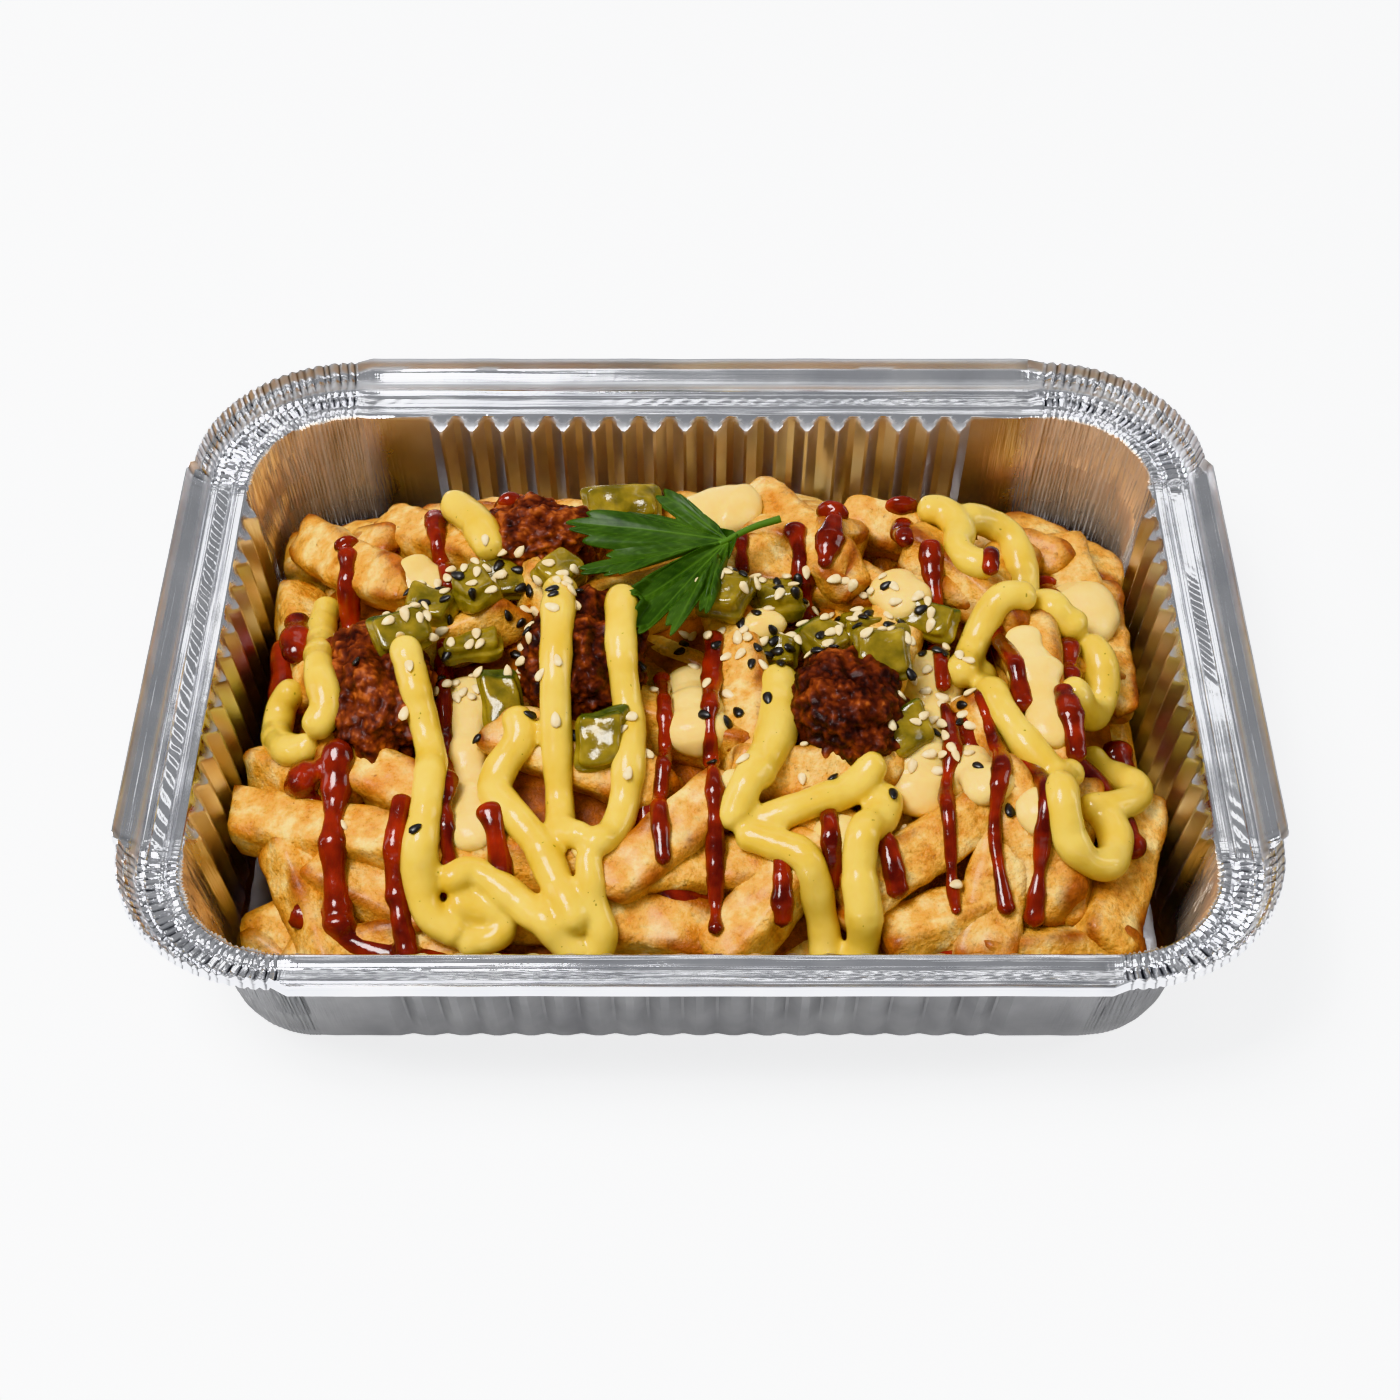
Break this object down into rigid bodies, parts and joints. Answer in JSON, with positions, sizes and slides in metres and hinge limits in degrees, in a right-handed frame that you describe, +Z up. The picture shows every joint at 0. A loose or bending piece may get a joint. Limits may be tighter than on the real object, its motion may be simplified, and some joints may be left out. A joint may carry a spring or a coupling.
{
  "type": "loaded fries meal in a foil tray",
  "caption": "Rectangular foil takeaway tray with a curled rim, filled with a heap of fries, crumbed chicken, pickle pieces, drizzled sauces, sesame seeds and a parsley leaf.",
  "frame": {"origin": "middle of the tray's base, on the surface that it stands on", "axes": "+X along the tray's length, +Y away from the viewer, +Z up"},
  "size_m": [0.227, 0.177, 0.0544],
  "materials": {
    "foil": "bright rolled foil, wrinkled rim, fluted walls",
    "fried_potato": null,
    "crumb": null,
    "pickle": null,
    "parsley": null
  },
  "bodies": {
    "root": {"tray": "foil", "fries": "fried_potato", "chicken_1": "crumb", "chicken_2": "crumb", "chicken_3": "crumb", "chicken_4": "crumb", "pickle_01": "pickle", "pickle_02": "pickle", "pickle_03": "pickle", "pickle_04": "pickle", "pickle_05": "pickle", "pickle_06": "pickle", "pickle_07": "pickle", "pickle_08": "pickle", "pickle_09": "pickle", "pickle_10": "pickle", "pickle_11": "pickle", "pickle_12": "pickle", "pickle_13": "pickle", "pickle_14": "pickle", "pickle_15": "pickle", "pickle_16": "pickle", "pickle_17": "pickle", "parsley": "parsley"}
  },
  "joints": []
}
